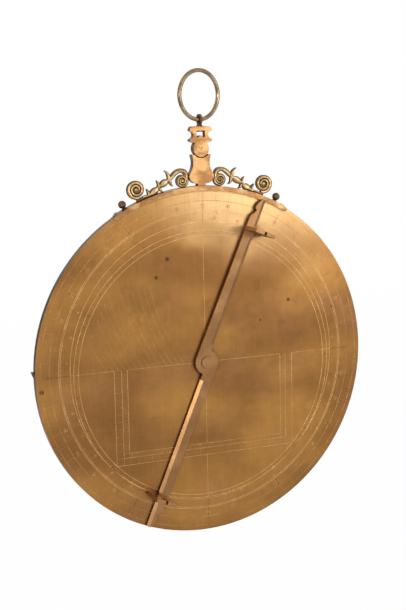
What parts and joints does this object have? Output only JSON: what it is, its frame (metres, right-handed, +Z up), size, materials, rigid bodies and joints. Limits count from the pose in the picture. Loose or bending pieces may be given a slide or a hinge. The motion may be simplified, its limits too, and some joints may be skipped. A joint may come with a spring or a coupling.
{
  "type": "planispheric astrolabe",
  "caption": "Brass astrolabe: graduated disc with latitude plates and star map, sighting rule with slotted vanes, scrolled throne, swivel shackle and ring",
  "frame": {"origin": "inside top of the suspension ring, where a hook or thumb carries it, in the middle plane of the disc", "axes": "+Z up along the hang line, -Y towards the engraved back with the alidade, +X to the right when looking at that back"},
  "size_m": [0.3242, 0.0481, 0.4246],
  "materials": {
    "brass_back": "satin, worn, brown-gold patina",
    "brass_throne": "satin, lighter than the disc",
    "brass_scroll": "satin, pale, dark in the hollows",
    "brass_dark": "dark brown patina",
    "brass_ring": "grey-brown patina",
    "brass_front": "satin",
    "brass_arm": "satin, browner than the disc"
  },
  "bodies": {
    "hang_ring": {"suspension_ring": "brass_ring"},
    "swivel": {"swivel_eye": "brass_dark", "swivel_button": "brass_dark"},
    "yoke": {"shackle": "brass_throne", "shackle_pin": "brass_throne"},
    "disc": {"mater_plate": "brass_back", "limb": "brass_back", "limb_rivets": "brass_back", "tympan_1": "brass_front", "tympan_2": "brass_front", "tympan_3": "brass_front", "saddle": "brass_throne", "saddle_rivets": "brass_throne", "scroll_left": "brass_scroll", "scroll_right": "brass_scroll", "baluster_left": "brass_dark", "baluster_right": "brass_dark", "bracket": "brass_throne", "bracket_rivet": "brass_throne", "centre_pin": "brass_arm", "back_washer": "brass_front", "front_washer": "brass_front"},
    "star_map": {"rete": "brass_front", "rete_button": "brass_front"},
    "sight_rule": {"alidade": "brass_arm", "vane_upper": "brass_arm", "vane_lower": "brass_arm", "vane_rivets_upper": "brass_arm", "vane_rivets_lower": "brass_arm"},
    "front_rule": {"rule": "brass_front"},
    "wedge": {"horse": "brass_front"}
  },
  "joints": [
    {"name": "eye_on_ring", "type": "hinge", "parent": "hang_ring", "child": "swivel", "pos_m": [0, 0, -0.0413], "axis": [0.9627, 0.2706, 0], "range_deg": [-75, 75]},
    {"name": "swivel_turn", "type": "hinge", "parent": "swivel", "child": "yoke", "pos_m": [0, 0, -0.0413], "axis": [0, 0, 1], "continuous": true},
    {"name": "throne_swing", "type": "hinge", "parent": "yoke", "child": "disc", "pos_m": [0, 0, -0.0668], "axis": [0, 1, 0], "range_deg": [-40, 40]},
    {"name": "alidade_turn", "type": "hinge", "parent": "disc", "child": "sight_rule", "pos_m": [0, 0, -0.2608], "axis": [0, 1, 0], "continuous": true},
    {"name": "rete_turn", "type": "hinge", "parent": "disc", "child": "star_map", "pos_m": [0, 0, -0.2608], "axis": [0, 1, 0], "continuous": true},
    {"name": "rule_turn", "type": "hinge", "parent": "disc", "child": "front_rule", "pos_m": [0, 0, -0.2608], "axis": [0, 1, 0], "continuous": true},
    {"name": "wedge_slide", "type": "slide", "parent": "disc", "child": "wedge", "axis": [0, 0, 1], "range_m": [0, 0.012]}
  ]
}
